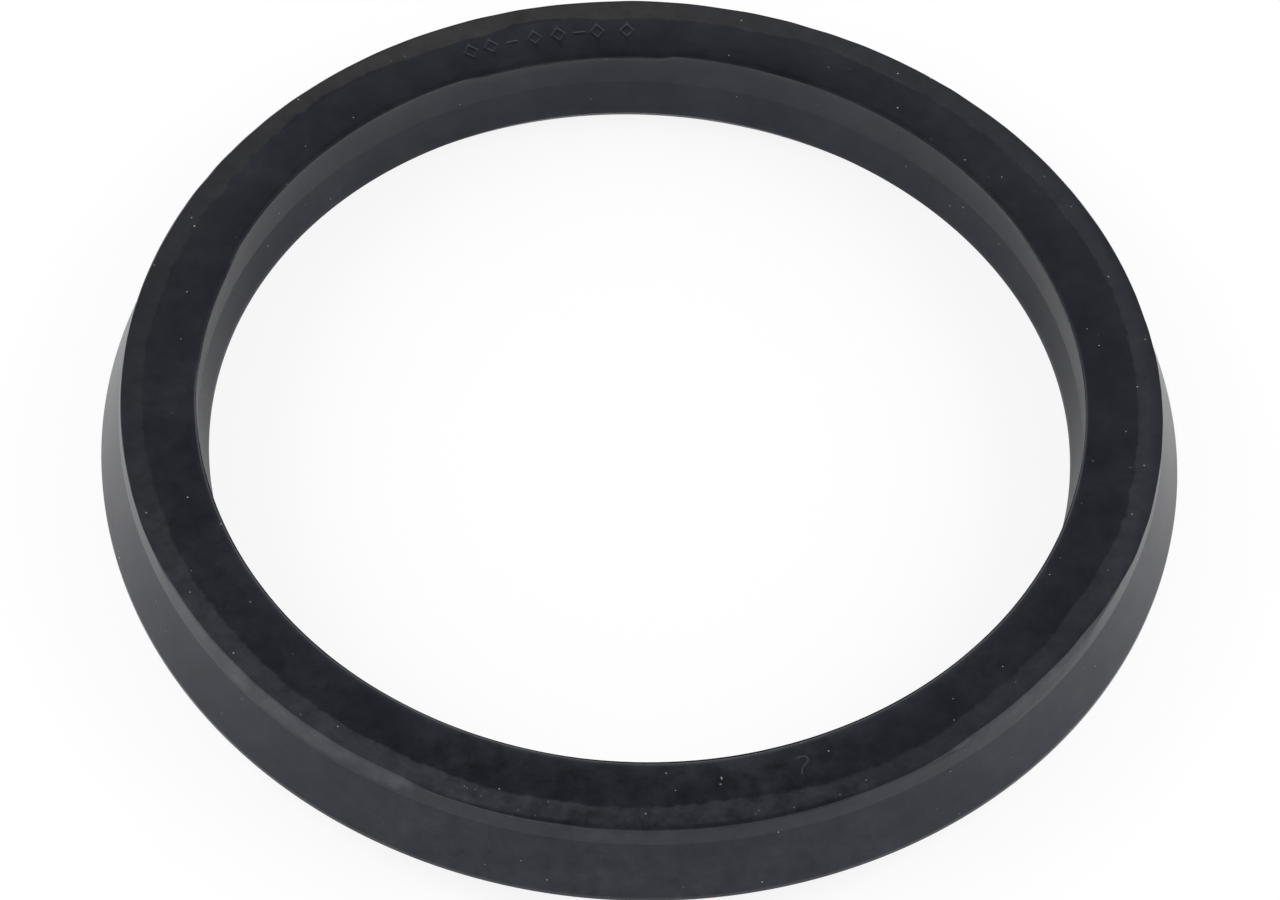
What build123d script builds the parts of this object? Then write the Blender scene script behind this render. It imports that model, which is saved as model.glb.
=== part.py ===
from build123d import *
import math
import os

# A U-cup lip seal ring: one piece of moulded black rubber. The solid heel is
# on top and two sealing lips hang below it. The inner lip leans in on the rod,
# the outer lip leans out on the groove wall, and an open channel lies between
# them. Z is the ring's axis, and z = 0 is the plane of the lip ends, on which
# the ring rests. All sizes are in millimetres.

# What the ring is made for
rod_diameter = 65.0             # rod that runs through the ring
groove_depth = 6.0              # from the rod out to the wall of its groove
seal_height = 8.5               # from the lip ends to the heel face

# Heel
heel_rod_clearance = 0.05       # radial gap between heel and rod
heel_groove_clearance = 0.1     # radial gap between heel and groove wall
heel_thickness = 3.5            # solid rubber above the channel
heel_inner_land = 3.4           # near-upright wall below the face, rod side
heel_outer_land = 1.65          # near-upright wall below the face, groove side
heel_inner_draft = 0.1          # how far the rod side's wall leans back below the face
heel_outer_draft = 0.25         # how far the groove side's wall leans in at the face
heel_inner_edge = 0.3           # rounding from the heel face to the rod side
heel_outer_edge = 0.15          # rounding from the heel face to the groove side
flare_start_rounding = 0.3      # where each wall turns into its lip

# Rim: the outer part of the heel face stands a little proud of the rest
rim_width = 1.75                # measured in from the heel's outer edge
rim_step = 0.08                 # height of the rim above the face inside it

# Lips
inner_lip_squeeze = 0.5         # how far the inner lip stands inside the rod
outer_lip_squeeze = 1.55        # how far the outer lip stands past the groove
crest_land = 0.4                # upright band at each lip's crest
lip_bevel_height = 2.0          # from the lip ends up to the crest
lip_bevel_angle = 38.0          # of the bevel below the crest, from the axis
lip_foot_width = 0.4            # flat end of each lip
lip_edge_rounding = 0.12        # at the crest and at the foot

# Channel between the lips
channel_end_width = 2.0         # across the closed end
channel_end_rounding = 0.85     # in the corners of the closed end

# Sizes that follow from the ones above
rod_radius = rod_diameter / 2
groove_radius = rod_radius + groove_depth
face_inner_radius = rod_radius + heel_rod_clearance
land_inner_radius = face_inner_radius + heel_inner_draft
land_outer_radius = groove_radius - heel_groove_clearance
face_outer_radius = land_outer_radius - heel_outer_draft
rim_inner_radius = face_outer_radius - rim_width
inner_crest_radius = rod_radius - inner_lip_squeeze
outer_crest_radius = groove_radius + outer_lip_squeeze
channel_radius = (rod_radius + groove_radius) / 2
channel_end_height = seal_height - heel_thickness
face_height = seal_height - rim_step


def lip(crest_radius, land_radius, land_end, outwards):
    """The visible side of one lip, as (radius, height, rounding) corners.

    It runs from the foot, round the crest and up to the end of the heel's wall.
    outwards is 1 for the outer lip and -1 for the inner one.
    """
    bevel_run = lip_bevel_height * math.tan(math.radians(lip_bevel_angle))
    foot_radius = crest_radius - outwards * bevel_run
    return [
        (foot_radius - outwards * lip_foot_width, 0, lip_edge_rounding),
        (foot_radius, 0, lip_edge_rounding),
        (crest_radius, lip_bevel_height, lip_edge_rounding),
        (crest_radius, lip_bevel_height + crest_land, lip_edge_rounding),
        (land_radius, land_end, flare_start_rounding),
    ]


def heel_face():
    """The heel's top, from its outer edge in to its inner edge."""
    return [
        (face_outer_radius, seal_height, heel_outer_edge),
        (rim_inner_radius, seal_height, 0),
        (rim_inner_radius, face_height, 0),
        (face_inner_radius, face_height, heel_inner_edge),
    ]


def channel_end():
    """The closed end of the channel, from the inner lip to the outer one."""
    half_width = channel_end_width / 2
    return [
        (channel_radius - half_width, channel_end_height, channel_end_rounding),
        (channel_radius + half_width, channel_end_height, channel_end_rounding),
    ]


def seal_ring():
    """The ring: its cross-section, drawn at +X and turned about Z."""
    outer_lip = lip(outer_crest_radius, land_outer_radius, seal_height - heel_outer_land, 1)
    inner_lip = lip(inner_crest_radius, land_inner_radius, seal_height - heel_inner_land, -1)
    corners = outer_lip + heel_face() + inner_lip[::-1] + channel_end()
    points = [(radius, height) for radius, height, _ in corners]
    roundings = [rounding for _, _, rounding in corners]
    outline = FilletPolyline(*points, radius=roundings, close=True)
    section = Plane.XZ * make_face(outline)
    return revolve(section, Axis.Z)


os.makedirs("parts", exist_ok=True)
export_step(seal_ring(), "parts/seal_ring.step")
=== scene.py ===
import math

import bpy
import numpy as np
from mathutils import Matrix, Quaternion, Vector


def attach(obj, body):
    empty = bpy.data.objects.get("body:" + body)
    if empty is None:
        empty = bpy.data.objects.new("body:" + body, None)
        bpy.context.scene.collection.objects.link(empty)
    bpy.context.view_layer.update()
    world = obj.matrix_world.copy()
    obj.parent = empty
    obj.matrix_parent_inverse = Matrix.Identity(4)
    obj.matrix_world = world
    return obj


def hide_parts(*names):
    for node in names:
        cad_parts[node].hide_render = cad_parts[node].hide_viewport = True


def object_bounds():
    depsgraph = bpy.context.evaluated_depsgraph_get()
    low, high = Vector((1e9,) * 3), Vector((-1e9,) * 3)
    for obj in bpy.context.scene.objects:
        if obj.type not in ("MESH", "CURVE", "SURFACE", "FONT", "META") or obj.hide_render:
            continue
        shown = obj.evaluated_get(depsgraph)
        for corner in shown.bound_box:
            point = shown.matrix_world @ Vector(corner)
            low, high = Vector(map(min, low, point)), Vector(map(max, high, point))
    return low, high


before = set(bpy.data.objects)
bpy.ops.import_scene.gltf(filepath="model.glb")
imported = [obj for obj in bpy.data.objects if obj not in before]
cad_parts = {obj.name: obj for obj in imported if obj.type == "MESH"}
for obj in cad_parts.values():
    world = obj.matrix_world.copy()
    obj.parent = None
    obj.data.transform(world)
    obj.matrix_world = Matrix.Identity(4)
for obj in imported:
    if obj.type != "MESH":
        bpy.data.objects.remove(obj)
cad_low, cad_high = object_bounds()
mm = 0.001


# Seal ring
# One piece of black nitrile rubber, compression moulded. Its solid heel is on top and
# its two lips stand on the ground. The mould leaves a matt rim and a row of raised
# marks on the heel, and the flash was trimmed off its edges by hand.

heel_top = cad_high.z - 0.03 * mm       # the marks stand up from here
outer_crest = cad_high.x - 0.06 * mm    # the lips have relaxed a little
inner_crest = 32.06 * mm
face_outer = 38.15 * mm                 # the heel's walls at the face
face_inner = 32.62 * mm
land_outer = 38.4 * mm                  # and where they turn into the lips
land_inner = 32.66 * mm
outer_land = 1.7 * mm                   # height of each wall
inner_land = 3.45 * mm
heel_outer_edge = 0.06 * mm             # roundings of the heel's edges
heel_inner_edge = 0.3 * mm
lip_bevel_height = 2.0 * mm
lip_bevel_run = 1.5626 * mm             # which leans the bevel by 38 degrees
lip_foot = 0.4 * mm
crest_land = 0.4 * mm
lip_edge = 0.12 * mm                    # rounding at the crests and feet
soft_edge = 0.1 * mm                    # rounding where a wall turns into its lip
channel_middle = 35.5 * mm
channel_half_width = 1.0 * mm
channel_top = 5.0 * mm
channel_edge = 0.85 * mm                # rounding

rim_inner = 36.4 * mm                   # the rim runs from here to the outer edge
crown_middle = 34.5 * mm                # the face falls away on both sides of here
crown_inside = 0.08 * mm
crown_outside = 0.05 * mm
swell_height = 0.012 * mm               # of the faint waves in the moulded skin
shortest_swell = 3.5 * mm
longest_swell = 14 * mm
groove_below = 0.28 * mm                # the groove under the edge lies this far down
groove_half_width = 0.06 * mm

# How the ring varies on its way round, as (degrees, value) stops. First its shape, in
# millimetres: how far outside rim_inner the rim's matt skin begins
rim_shift = ((4, 0.05), (20, 0.1), (28, -0.08), (50, -0.11), (60, -0.2), (68, 0.05), (76, -0.13),
             (96, -0.15), (104, 0.33), (112, -0.13), (116, -0.22), (120, -0.15), (129, 0.33),
             (136, 0.27), (145, -0.03), (164, 0.05), (174, 0.2), (192, 0.16), (200, 0.1), (210, 0.17),
             (220, 0.02), (232, 0.08), (244, -0.04), (256, 0.1), (268, 0.06), (284, -0.18), (292, 0.2),
             (304, 0.19), (312, -0.17), (328, -0.25), (345, 0.14), (353, 0.0))
# how far the trimmed outer edge stands out or, below 0, was cut in
trim_out = ((4, 0.08), (14, 0.0), (24, -0.08), (46, -0.09), (70, -0.06), (84, -0.06), (90, -0.02),
            (98, -0.08), (140, -0.13), (160, -0.1), (176, -0.03), (194, 0.0), (203, 0.06), (212, -0.12),
            (226, -0.2), (244, -0.2), (251, 0.08), (258, 0.07), (266, 0.02), (300, 0.0), (304, -0.05),
            (309, -0.28), (318, -0.33), (326, -0.25), (332, -0.06), (339, 0.13), (356, 0.1))
# how far it was rolled over, and how deep the groove is that was left under it
trim_drop = ((0, 0.0), (252, 0.0), (258, 0.05), (268, 0.15), (284, 0.15), (290, 0.1), (297, 0.0))
flash_groove = ((0, 0.0), (302, 0.0), (306, 0.045), (326, 0.04), (331, 0.0))
# how far the flash on the inner edge stands in, and the face is worn down beside it
inner_fin = ((4, 0.05), (24, 0.14), (34, 0.05), (50, 0.03), (66, 0.03), (72, 0.1), (77, 0.04),
             (86, 0.05), (89, 0.3), (111, 0.34), (118, 0.08), (150, 0.03), (158, 0.05), (164, 0.24),
             (176, 0.16), (184, 0.0))
worn_edge = ((188, 0.0), (200, 0.03), (262, 0.03), (274, 0.045), (290, 0.045), (300, 0.035),
             (340, 0.03), (352, 0.0))
# and how far out the knife's cut leans, in millimetres for each one that it goes down
bevel_slope = ((203, 0.48), (211, 0.14), (253, 0.14), (300, 0.48))

# Then its skin: how strong the rim's bloom is, how warm, and over how many millimetres
# it fades at the outer edge, and how scuffed the rubber is
bloom_level = ((0, 0.85), (30, 0.8), (52, 0.7), (72, 1.0), (96, 1.35), (122, 1.5), (134, 1.2),
               (146, 0.75), (158, 0.5), (192, 0.2), (204, 0.8), (216, 1.2), (240, 1.3), (254, 1.45),
               (264, 1.0), (290, 0.85), (301, 0.5), (326, 0.45), (338, 0.9), (350, 0.95))
bloom_warmth = ((0, 0.0), (60, 0.2), (92, 1.0), (176, 1.0), (196, 0.6), (214, 0.0))
bloom_fade = ((8, 1.0), (34, 0.8), (52, 0.3), (200, 0.2), (208, 0.06), (248, 0.06), (254, 0.3),
              (300, 0.3), (306, 0.1), (312, 0.8), (326, 0.8), (334, 0.3), (346, 0.9))
scuff_level = ((0, 0.6), (40, 0.6), (120, 0.75), (170, 0.7), (200, 1.0), (240, 1.0), (254, 1.7),
               (292, 1.6), (302, 1.0), (336, 0.9))

# What lies on the heel, as (x, y) in millimetres: pale bits of lint, darker grit, and
# the corners of a curled fibre
lint = ((6.41, -33.76), (6.43, -33.88), (24.16, 22.73), (-34.2, 14.52), (36.66, -5.81),
        (35.59, -10.21), (6.36, -34.31), (13.78, -31.31), (-8.79, -35.25), (-29.67, -13.68),
        (1.29, -36.85), (-35.07, -12.94))
grit = ((-11.19, -35.11), (-10.98, -35.26), (-10.41, -35.36), (-10.04, -35.85), (-7.43, -36.92),
        (8.81, -36.61), (9.01, -36.3), (11.41, -35.97), (14.56, -34.8))
fibre = ((11.6, -31.98), (11.95, -31.82), (12.22, -31.79), (12.37, -32.04), (12.34, -32.2),
         (12.04, -32.67), (11.95, -32.95), (11.95, -33.19))
fibre_spacing = 0.155                   # of the dots that draw it, in millimetres
lint_radius = 0.065 * mm
grit_radius = 0.06 * mm
fibre_radius = 0.07 * mm

# The raised marks, in degrees round the ring: diamonds, and a dash in two of the gaps
diamond_angles = (113.6, 110.9, 105.2, 102.1, 97.1, 93.3)
dash_angles = (108.2, 99.4)
mark_radius = 34.85 * mm
diamond_half_width = 0.5 * mm
diamond_half_height = 0.65 * mm
dash_half_length = 0.4 * mm
mark_stroke = 0.12 * mm                 # from the middle of a line to its foot
mark_height = 0.045 * mm

# Spacing of the surface's rows, which is closer where it turns or has relief, and of
# its columns, which is closer under the marks
plain_row = 0.8 * mm
turning_row = math.radians(11)          # how far it turns from one row to the next
mark_row = 0.085 * mm
rim_row = 0.1 * mm
edge_row = 0.06 * mm
plain_column = math.radians(1.0)
mark_column = math.radians(0.14)

# Colours and finish
skin_dark = (0.0026, 0.0032, 0.0056, 1)
skin_cloudy = (0.0126, 0.0134, 0.0168, 1)
bloom_cool = (0.0150, 0.0160, 0.0197, 1)
bloom_warm = (0.0152, 0.0151, 0.0146, 1)
bare_rubber = (0.026, 0.027, 0.030, 1)  # where the knife cut in
dust_dim = (0.08, 0.08, 0.085, 1)
dust_bright = (0.50, 0.50, 0.51, 1)
fibre_colour = (0.038, 0.038, 0.040, 1)
grit_colour = (0.075, 0.075, 0.08, 1)
lint_colour = (0.16, 0.16, 0.17, 1)
sheen_tint = (0.77, 0.80, 1.0, 1)
skin_roughness = 0.28
bloom_roughness = 0.50

# How fine each pattern is, in waves or cells to the metre
cloud_scale = 170.0
scuff_scale = 600.0
coarse_fray_scale = 600.0
fine_fray_scale = 2200.0
dust_scale = 1150.0
grain_scale = 7000.0


def rounded_outline(corners, arc_points=15):
    """A closed outline with rounded corners, as (radius, height) points.

    A corner becomes an arc that touches both of its sides. Where h is half the
    angle between them, the arc's centre lies rounding / sin h from the corner on
    the line that halves the angle, and the arc turns through 180 degrees - 2h.
    """
    point = corners[:, :2]
    rounding = corners[:, 2:]
    back = np.roll(point, 1, axis=0) - point
    ahead = np.roll(point, -1, axis=0) - point
    back /= np.linalg.norm(back, axis=1, keepdims=True)
    ahead /= np.linalg.norm(ahead, axis=1, keepdims=True)
    inward = (back + ahead) / np.linalg.norm(back + ahead, axis=1, keepdims=True)
    along = (ahead - back) / np.linalg.norm(ahead - back, axis=1, keepdims=True)
    half = np.arccos((inward * ahead).sum(axis=1))
    centre = point + inward * rounding / np.sin(half)[:, None]
    turn = (np.pi / 2 - half)[:, None] * np.linspace(-1, 1, arc_points)
    arc = np.sin(turn)[..., None] * along[:, None] - np.cos(turn)[..., None] * inward[:, None]
    return (centre[:, None] + arc * rounding[:, None]).reshape(-1, 2)


def stations(places, crowding):
    """Places along a line, spaced evenly by the running total of crowding.

    Crowding is one over the spacing wanted at each of the places.
    """
    step = np.diff(places)
    total = np.r_[0, np.cumsum(step * (crowding[1:] + crowding[:-1]) / 2)]
    count = int(round(total[-1]))
    return np.interp(np.arange(count) * total[-1] / count, total, places)


def smooth_step(value, start, end):
    """0 before start, 1 after end, and 3t^2 - 2t^3 between them."""
    t = np.clip((value - start) / (end - start), 0, 1)
    return t * t * (3 - 2 * t)


def going_round(angle, stops):
    """A value that varies round the ring: (degrees, value) stops joined by smooth steps."""
    place, value = np.array(stops + ((stops[0][0] + 360, stops[0][1]),)).T
    degrees = (np.degrees(angle) - place[0]) % 360 + place[0]
    stop = np.clip(np.searchsorted(place, degrees, side="right") - 1, 0, place.size - 2)
    share = smooth_step(degrees, place[stop], place[stop + 1])
    return value[stop] + (value[stop + 1] - value[stop]) * share


def wander(angle, seed, first, last):
    """A wavy closed line: cosines of random phase, with first up to last waves a turn.

    Their sum is divided by the root of half their number, so that it spreads by 1.
    """
    waves = np.arange(first, last)[:, None]
    phase = np.random.default_rng(seed).uniform(0, 2 * np.pi, waves.shape)
    return np.cos(waves * angle.ravel() + phase).sum(axis=0).reshape(angle.shape) / np.sqrt(waves.size / 2)


def swell(along, angle, seed, count, shortest, longest):
    """Faint waves over the skin, between -1 and 1, for rows along and columns angle.

    Each wave is a cosine with its own length and heading, as high as it is long,
    with a whole number of turns round the ring. The sum is scaled to reach 1.
    """
    random = np.random.default_rng(seed)
    length = shortest * (longest / shortest) ** random.uniform(size=count)
    heading = random.uniform(0, 2 * np.pi, count)
    phase = random.uniform(0, 2 * np.pi, count)
    turns = np.round(np.cos(heading) * 2 * np.pi * channel_middle / length)
    down = along * np.sin(heading) * 2 * np.pi / length
    across = angle.reshape(-1, 1) * turns + phase
    total = (length * np.cos(down)) @ np.cos(across).T - (length * np.sin(down)) @ np.sin(across).T
    return total / abs(total).max()


def lip(crest, land, land_end, outwards):
    """One lip's corners as (radius, height, rounding), from its foot up to the heel.

    outwards is 1 for the outer lip and -1 for the inner one.
    """
    foot = crest - outwards * lip_bevel_run
    return [
        (foot - outwards * lip_foot, 0, lip_edge),
        (foot, 0, lip_edge),
        (crest, lip_bevel_height, lip_edge),
        (crest, lip_bevel_height + crest_land, lip_edge),
        (land, land_end, soft_edge),
    ]


outer_lip = lip(outer_crest, land_outer, heel_top - outer_land, 1)
inner_lip = lip(inner_crest, land_inner, heel_top - inner_land, -1)
heel_corners = [
    (face_outer, heel_top, heel_outer_edge),
    (face_inner, heel_top, heel_inner_edge),
]
channel_corners = [
    (channel_middle - channel_half_width, channel_top, channel_edge),
    (channel_middle + channel_half_width, channel_top, channel_edge),
]
outline = rounded_outline(np.array(outer_lip + heel_corners + inner_lip[::-1] + channel_corners))

# The outline again at very fine steps, with its heading and how sharply it turns
closed = np.vstack([outline, outline[:1]])
run = np.r_[0, np.cumsum(np.linalg.norm(np.diff(closed, axis=0), axis=1))]
fine = np.linspace(0, run[-1], 9000)
fine_radius = np.interp(fine, run, closed[:, 0])
fine_height = np.interp(fine, run, closed[:, 1])
heading = np.unwrap(np.arctan2(np.gradient(fine_height), np.gradient(fine_radius)))
turning = np.abs(np.gradient(heading, fine))
blur_steps = 61
blur = np.hanning(blur_steps)
wrapped = np.r_[turning[-blur_steps:], turning, turning[:blur_steps]]
turning = np.convolve(wrapped, blur / blur.sum(), "same")[blur_steps:-blur_steps]

# Rows along the outline
on_top = fine_height > heel_top - 0.2 * mm
near_marks = on_top & (abs(fine_radius - mark_radius) < diamond_half_height + mark_stroke)
near_rim = on_top & (abs(fine_radius - rim_inner) < 0.4 * mm)
near_edge = np.hypot(fine_radius - face_outer, fine_height - heel_top) < 0.45 * mm
near_bend = np.hypot(fine_radius - land_outer, fine_height - heel_top + outer_land) < 0.2 * mm
near_bend |= np.hypot(fine_radius - land_inner, fine_height - heel_top + inner_land) < 0.2 * mm
crowding = 1 / plain_row + turning / turning_row + near_marks / mark_row
crowding += near_rim / rim_row + near_edge / edge_row + near_bend / edge_row
row = stations(fine, crowding)
row_radius = np.interp(row, fine, fine_radius)[:, None]
row_height = np.interp(row, fine, fine_height)[:, None]
row_heading = np.interp(row, fine, heading)[:, None]

# Columns round the ring. The marks lie between 92 and 115 degrees
turn_fine = np.radians(np.linspace(0, 360, 7201))
degrees_fine = np.degrees(turn_fine)
mark_sector = smooth_step(degrees_fine, 90, 91.2) - smooth_step(degrees_fine, 115.5, 116.7)
column = stations(turn_fine, 1 / plain_column + mark_sector / mark_column)[None, :]

# The soft ring lies a little out of round: an oval along one diagonal, a slight
# three-sided swing, and a little smaller all round
oval = mm * (-0.153 * np.sin(2 * column) + 0.055 * np.cos(3 * column) + 0.036 * np.sin(3 * column) - 0.06)

# The heel's face is crowned: from crown_middle it falls by the square of the way to
# its inner edge and to the rim, which is level
top = smooth_step(row_height, heel_top - 0.25 * mm, heel_top - 0.1 * mm)
way_in = (crown_middle - row_radius) / (crown_middle - face_inner)
way_out = np.minimum((row_radius - crown_middle) / (rim_inner - crown_middle), 1)
crown = np.where(row_radius < crown_middle, crown_inside * way_in ** 2, crown_outside * way_out ** 2)

# At the front it is also worn down a little, towards its inner edge
worn = np.clip((face_inner + 0.8 * mm - row_radius) / (0.5 * mm), 0, None) ** 2
rise = -crown - worn * going_round(column, worn_edge) * mm

# A mark rises where a place is within a stroke of its line. A diamond's line is where
# |across| + |up| = 1, and 0.8 of the half width makes a distance of what is left
for angle in diamond_angles:
    across = abs(column - math.radians(angle)) * mark_radius / diamond_half_width
    up = abs(row_radius - mark_radius) / diamond_half_height
    away = abs(across + up - 1) * diamond_half_width * 0.8
    rise = rise + mark_height * (1 - smooth_step(away, mark_stroke * 0.4, mark_stroke))
for angle in dash_angles:
    across = np.maximum(abs(column - math.radians(angle)) * mark_radius - dash_half_length, 0)
    away = np.hypot(across, abs(row_radius - mark_radius))
    rise = rise + mark_height * (1 - smooth_step(away, mark_stroke * 0.4, mark_stroke))

# The outer edge was trimmed by hand. In places a thin fin is left standing out, in
# others the knife went in at a slant, rolled the edge over or left a groove under it
below = heel_top - row_height
at_edge = smooth_step(row_radius, face_outer - 0.6 * mm, face_outer - 0.05 * mm)
trim = going_round(column, trim_out) * mm + 0.01 * mm * wander(column, 5, 20, 90)
fin = np.maximum(trim, 0) * (1 - smooth_step(below, 0.1 * mm, 0.3 * mm))
cut = -np.maximum(-trim - going_round(column, bevel_slope) * below, 0)
rolled = smooth_step(row_radius, face_outer - 0.5 * mm, face_outer)
rolled = rolled * (1 - smooth_step(below, 0.1 * mm, 0.7 * mm)) * going_round(column, trim_drop) * mm
groove = np.exp(-((below - groove_below) / groove_half_width) ** 2) * (row_radius > face_outer)
groove = groove * going_round(column, flash_groove) * mm

# On the inner edge the flash wasn't trimmed so close
inner = 1 - smooth_step(row_radius, face_inner, face_inner + 0.5 * mm)
inner = inner * (1 - smooth_step(below, 0.15 * mm, 0.45 * mm)) * (row_height > channel_top)
inner = inner * going_round(column, inner_fin) * mm

# Waves in the skin push it in along its normal, and fade out towards the crests
skin = smooth_step(row_height, 2.5 * mm, 3.5 * mm)
waves = swell(row[:, None], column, 11, 60, shortest_swell, longest_swell)
push = -swell_height * skin * (1 + top) * (1 - waves)
radius = row_radius + oval + (fin + cut) * at_edge - inner - groove + push * np.sin(row_heading)
height = row_height + top * rise - rolled - push * np.cos(row_heading)
grid = np.stack([radius * np.cos(column), radius * np.sin(column), height], axis=-1)
rows, columns = grid.shape[:2]

number = np.arange(rows * columns).reshape(rows, columns)
right = np.roll(number, -1, axis=1)
ahead = np.roll(number, -1, axis=0)
faces = np.stack([number, right, np.roll(right, -1, axis=0), ahead], axis=-1).reshape(-1, 4)

ring_mesh = bpy.data.meshes.new("seal_ring_rubber")
ring_mesh.from_pydata(grid.reshape(-1, 3), [], faces)
ring_mesh.update()
ring_mesh.shade_smooth()
ring = bpy.data.objects.new("seal_ring_rubber", ring_mesh)
bpy.context.scene.collection.objects.link(ring)

# The material follows the surface by these. around is the way round the ring and along
# the section. On the heel's face, rim_depth is how far a place lies outside the edge of
# the matt skin, and rim_left how far inside the outer edge, which rolling brings nearer
every_row = 0 * row_radius
around = np.stack([np.cos(column) + every_row, np.sin(column) + every_row,
                   row[:, None] / mm + 0 * column], axis=-1)
ring_mesh.attributes.new("around", "FLOAT_VECTOR", "POINT").data.foreach_set("vector", around.ravel())
on_face = top > 0.5
off_rim = -5.0                          # off the face, as if far from the rim
rim_edge = rim_inner + mm * going_round(column, rim_shift) + 0.02 * mm * wander(column, 3, 20, 70)
rim_left = (face_outer - row_radius - 3 * rolled) / (going_round(column, bloom_fade) * mm)
levels = {
    "rim_depth": np.where(on_face, (row_radius - rim_edge) / mm, off_rim),
    "rim_left": np.where(on_face, rim_left, off_rim),
    "bloom": going_round(column, bloom_level) + every_row,
    "warmth": going_round(column, bloom_warmth) + every_row,
    "scuffed": going_round(column, scuff_level) + every_row,
    "cut_face": smooth_step(-cut, 0, 0.02 * mm) * (row_radius > face_outer),
}
for name, value in levels.items():
    ring_mesh.attributes.new(name, "FLOAT", "POINT").data.foreach_set("value", value.ravel())


def node_maker(tree):
    """Empties a node tree and returns a function that adds one node to it.

    The function takes the node's kind, (input, value or output) pairs for the
    inputs that are set or linked, and the node's own settings by name.
    """
    tree.nodes.clear()

    def add(kind, *inputs, **settings):
        node = tree.nodes.new(kind)
        for name, value in settings.items():
            setattr(node, name, value)
        for name, value in inputs:
            if isinstance(value, bpy.types.NodeSocket):
                tree.links.new(value, node.inputs[name])
            else:
                node.inputs[name].default_value = value
        return node

    return add


def beads(corners, spacing):
    """Points spaced evenly along straight lines from corner to corner."""
    corner = np.array(corners)
    length = np.r_[0, np.cumsum(np.linalg.norm(np.diff(corner, axis=0), axis=1))]
    place = np.linspace(0, length[-1], round(length[-1] / spacing) + 1)
    return np.stack([np.interp(place, length, corner[:, 0]), np.interp(place, length, corner[:, 1])], axis=1)


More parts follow.
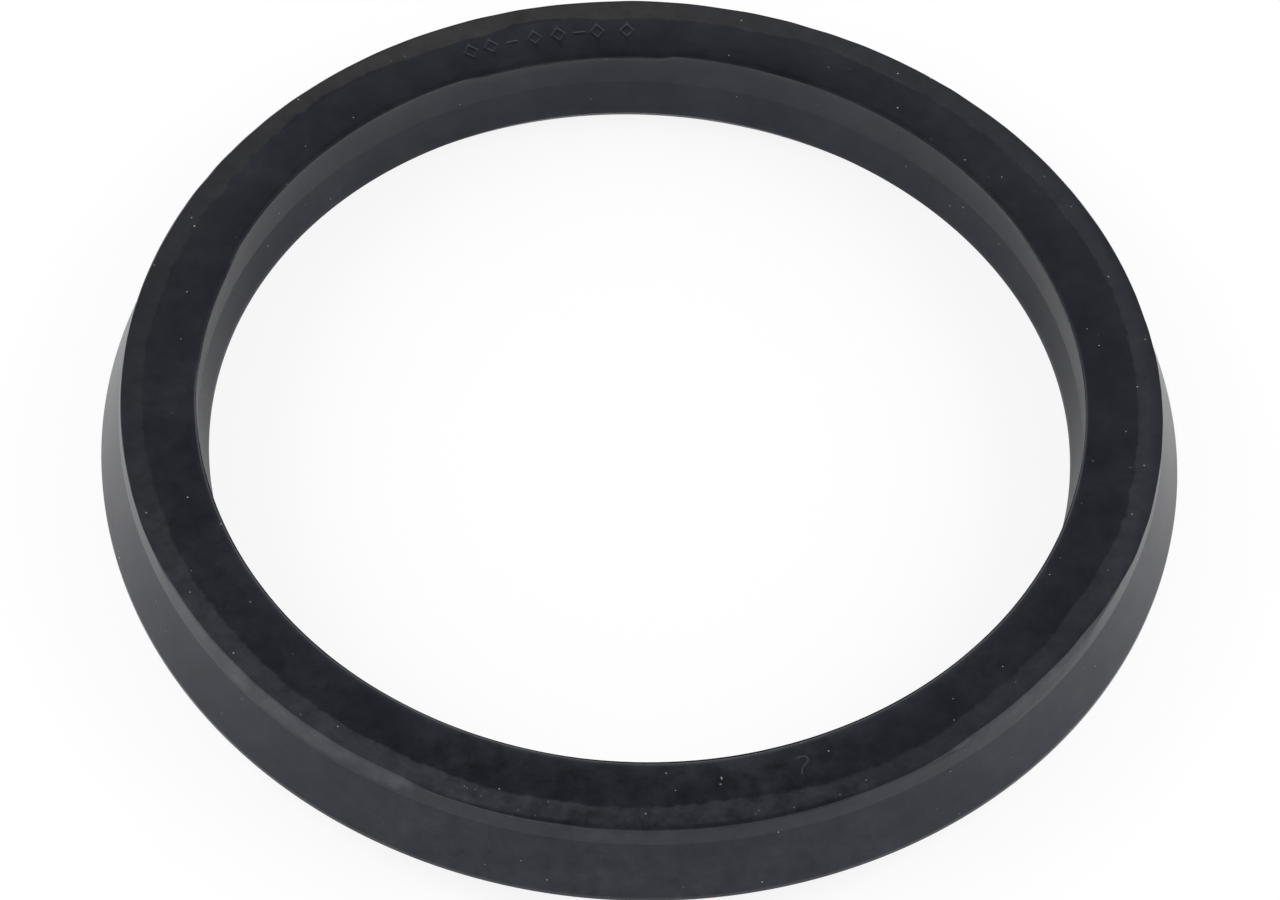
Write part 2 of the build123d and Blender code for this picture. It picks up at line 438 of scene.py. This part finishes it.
def rubber():
    """Black nitrile rubber: nearly black, a soft sheen, matt on the rim, with dust."""
    material = bpy.data.materials.new("black nitrile rubber")
    material.use_nodes = True
    add = node_maker(material.node_tree)

    def noise(vector, scale, detail, roughness=0.5):
        return add("ShaderNodeTexNoise", ("Vector", vector), ("Scale", scale), ("Detail", detail),
                   ("Roughness", roughness)).outputs["Fac"]

    def spread(value, low, high, to_low=0.0, to_high=1.0):
        return add("ShaderNodeMapRange", ("Value", value), ("From Min", low), ("From Max", high),
                   ("To Min", to_low), ("To Max", to_high)).outputs[0]

    def reckon(operation, *values):
        return add("ShaderNodeMath", *enumerate(values), operation=operation).outputs[0]

    def blend(share, first, second, **settings):
        return add("ShaderNodeMix", (0, share), (6, first), (7, second), data_type="RGBA",
                   **settings).outputs[2]

    def level(name):
        return add("ShaderNodeAttribute", attribute_name=name).outputs["Fac"]

    place = add("ShaderNodeTexCoord").outputs["Object"]
    around = add("ShaderNodeAttribute", attribute_name="around").outputs["Vector"]

    # Where the rim's matt skin begins, with a frayed edge, and how strong its bloom is
    fray = reckon("ADD", noise(place, fine_fray_scale, 3.0), noise(place, coarse_fray_scale, 2.0))
    rim = spread(reckon("MULTIPLY_ADD", fray, 0.45, level("rim_depth")), 0.38, 0.55)
    outer_fade = spread(level("rim_left"), 0.0, 1.0)
    bloom = reckon("MULTIPLY", reckon("MULTIPLY", rim, outer_fade), level("bloom"))
    roughness = spread(rim, 0.0, 1.0, skin_roughness, bloom_roughness)

    # A cloudy skin, powdery where it blooms, and gone where the knife cut in. A bloom
    # stronger than 1 goes on past the powder's colour
    clouds = spread(noise(place, cloud_scale, 5.0, 0.6), 0.25, 0.75)
    powder = blend(level("warmth"), bloom_cool, bloom_warm)
    colour = blend(bloom, blend(clouds, skin_dark, skin_cloudy), powder, clamp_factor=False)
    colour = blend(level("cut_face"), colour, bare_rubber)

    # Scuffs, from a millimetre or two down to fine scratches
    mottle = spread(noise(place, scuff_scale, 6.0, 0.72), 0.3, 0.7, -0.5, 0.5)
    mottle = reckon("MULTIPLY_ADD", mottle, level("scuffed"), 1.0)
    colour = add("ShaderNodeVectorMath", (0, colour), ("Scale", mottle), operation="SCALE").outputs[0]

    # Fine dust: a speck of random size and brightness in most cells of a pattern
    specks = add("ShaderNodeTexVoronoi", ("Vector", place), ("Scale", dust_scale))
    chance = add("ShaderNodeSeparateColor", ("Color", specks.outputs["Color"])).outputs
    size = spread(chance[0], 0.42, 1.0, 0.0, 0.068)
    speck = reckon("LESS_THAN", specks.outputs["Distance"], size)
    colour = blend(speck, colour, blend(chance[1], dust_dim, dust_bright))

    # What lies on the heel. Heights count for a tenth, so that each bit shows whole
    height_share = 0.1
    flat = add("ShaderNodeMapping", ("Vector", place), ("Scale", (1.0, 1.0, height_share))).outputs[0]

    def lying(bits, radius):
        """1 within a radius of one of the bits, and 0 elsewhere."""
        found = 0.0
        for x, y in bits:
            centre = (x * mm, y * mm, height_share * heel_top)
            away = add("ShaderNodeVectorMath", (0, flat), (1, centre), operation="DISTANCE")
            found = reckon("MAXIMUM", found, reckon("LESS_THAN", away.outputs["Value"], radius))
        return found

    colour = blend(lying(beads(fibre, fibre_spacing), fibre_radius), colour, fibre_colour)
    colour = blend(lying(grit, grit_radius), colour, grit_colour)
    colour = blend(lying(lint, lint_radius), colour, lint_colour)

    # A fine grain, stronger on the rim, over streaks that run round the ring
    grain = noise(place, grain_scale, 2.0)
    stretched = add("ShaderNodeMapping", ("Vector", around), ("Scale", (9.0, 9.0, 3.0))).outputs[0]
    relief = reckon("MULTIPLY_ADD", grain, spread(rim, 0.0, 1.0, 0.15, 0.6), noise(stretched, 1.0, 4.0))
    bump = add("ShaderNodeBump", ("Height", relief), ("Strength", 0.25), ("Distance", 0.02 * mm)).outputs[0]

    shader = add("ShaderNodeBsdfPrincipled", ("Base Color", colour), ("Roughness", roughness),
                 ("Normal", bump), ("IOR", 1.42), ("Specular Tint", sheen_tint))
    add("ShaderNodeOutputMaterial", ("Surface", shader.outputs[0]))
    return material


ring.data.materials.append(rubber())
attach(ring, "root")
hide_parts("seal_ring")


# Floor
# A plain white sheet that the ring stands on. It looks white by itself, and a
# share of its paint is left to take the ring's soft shadow.

sheet_half = 3.0
sheet_top = -0.01 * mm                  # a hair below the lip ends
sheet_paint = (0.93, 0.93, 0.93, 1)
white_share = 0.86
mirrored_share = 0.1


def white_sheet():
    """White paint that glows a little to the camera, and less in reflections."""
    material = bpy.data.materials.new("white sheet")
    material.use_nodes = True
    add = node_maker(material.node_tree)
    path = add("ShaderNodeLightPath").outputs
    mirrored = add("ShaderNodeMath", (0, path["Is Glossy Ray"]), (1, path["Is Transmission Ray"]),
                   operation="MAXIMUM").outputs[0]
    glow = add("ShaderNodeMath", (0, mirrored), (1, mirrored_share), operation="MULTIPLY").outputs[0]
    share = add("ShaderNodeMath", (0, path["Is Camera Ray"]), (1, white_share),
                operation="MULTIPLY").outputs[0]
    paint = add("ShaderNodeBsdfDiffuse", ("Color", sheet_paint))
    light = add("ShaderNodeEmission", ("Strength", 1.0))
    seen = add("ShaderNodeMixShader", (0, share), (1, paint.outputs[0]), (2, light.outputs[0]))
    extra = add("ShaderNodeEmission", ("Strength", glow))
    sheet = add("ShaderNodeAddShader", (0, seen.outputs[0]), (1, extra.outputs[0]))
    add("ShaderNodeOutputMaterial", ("Surface", sheet.outputs[0]))
    return material


floor_mesh = bpy.data.meshes.new("floor")
floor_corners = [(-sheet_half, -sheet_half, sheet_top), (sheet_half, -sheet_half, sheet_top),
                 (sheet_half, sheet_half, sheet_top), (-sheet_half, sheet_half, sheet_top)]
floor_mesh.from_pydata(floor_corners, [], [(0, 1, 2, 3)])
floor_mesh.materials.append(white_sheet())
floor = bpy.data.objects.new("floor", floor_mesh)
bpy.context.scene.collection.objects.link(floor)


# Light
# A white surround that is bright low down and dim overhead, with a round soft box on
# each side. The camera sees plain white, and the boxes aren't mirrored in the rubber.

horizon = 2.4                           # brightness of the surround, low down
middle = 0.65                           # half-way up
overhead = 0.28
low_fade = (math.radians(12), math.radians(30))     # elevations between which it fades
high_fade = (math.radians(42), math.radians(60))
box_aside = 0.16
box_height = 0.12
box_width = 0.15
left_power = 0.228
right_power = 0.236

world = bpy.data.worlds.new("studio")
bpy.context.scene.world = world
world.use_nodes = True
add = node_maker(world.node_tree)
direction = add("ShaderNodeTexCoord").outputs["Generated"]
upward = add("ShaderNodeSeparateXYZ", (0, direction)).outputs["Z"]
elevation = add("ShaderNodeMath", (0, upward), operation="ARCSINE").outputs[0]
lower = add("ShaderNodeMapRange", ("Value", elevation), ("From Min", low_fade[0]),
            ("From Max", low_fade[1]), ("To Min", horizon - middle), ("To Max", 0.0),
            interpolation_type="SMOOTHSTEP").outputs[0]
upper = add("ShaderNodeMapRange", ("Value", elevation), ("From Min", high_fade[0]),
            ("From Max", high_fade[1]), ("To Min", middle), ("To Max", overhead),
            interpolation_type="SMOOTHSTEP").outputs[0]
surround = add("ShaderNodeMath", (0, lower), (1, upper), operation="ADD").outputs[0]
seen = add("ShaderNodeLightPath").outputs["Is Camera Ray"]
strength = add("ShaderNodeMix", (0, seen), (2, surround), (3, 1.0), data_type="FLOAT").outputs[0]
background = add("ShaderNodeBackground", ("Strength", strength))
add("ShaderNodeOutputWorld", ("Surface", background.outputs[0]))

for aside, power in ((-box_aside, left_power), (box_aside, right_power)):
    lamp_data = bpy.data.lights.new("soft box", "AREA")
    lamp_data.shape = "DISK"
    lamp_data.size = box_width
    lamp_data.energy = power
    lamp = bpy.data.objects.new("soft box", lamp_data)
    bpy.context.scene.collection.objects.link(lamp)
    lamp.location = (aside, 0, box_height)
    lamp.rotation_mode = "QUATERNION"
    lamp.rotation_quaternion = (-lamp.location).to_track_quat("-Z", "Y")
    lamp.visible_glossy = False


# Camera
# A long lens a third of a metre away, which looks down at the ring from its front, 53
# degrees above the ground, and is turned a little about its own axis.

focal_length = 124.546
sensor_width = 36.0
camera_place = Vector((0, -197.828, 265.639)) * mm
camera_aim = Vector((0.0915, -1.1319, 2.0)) * mm
camera_roll = math.radians(1.8992)

camera_data = bpy.data.cameras.new("camera")
camera_data.lens = focal_length
camera_data.sensor_width = sensor_width
camera = bpy.data.objects.new("camera", camera_data)
bpy.context.scene.collection.objects.link(camera)
camera.location = camera_place
roll = Quaternion((0, 0, 1), camera_roll)
camera.rotation_mode = "QUATERNION"
camera.rotation_quaternion = (camera_aim - camera.location).to_track_quat("-Z", "Y") @ roll
bpy.context.scene.camera = camera

bpy.context.scene.view_settings.view_transform = "Standard"
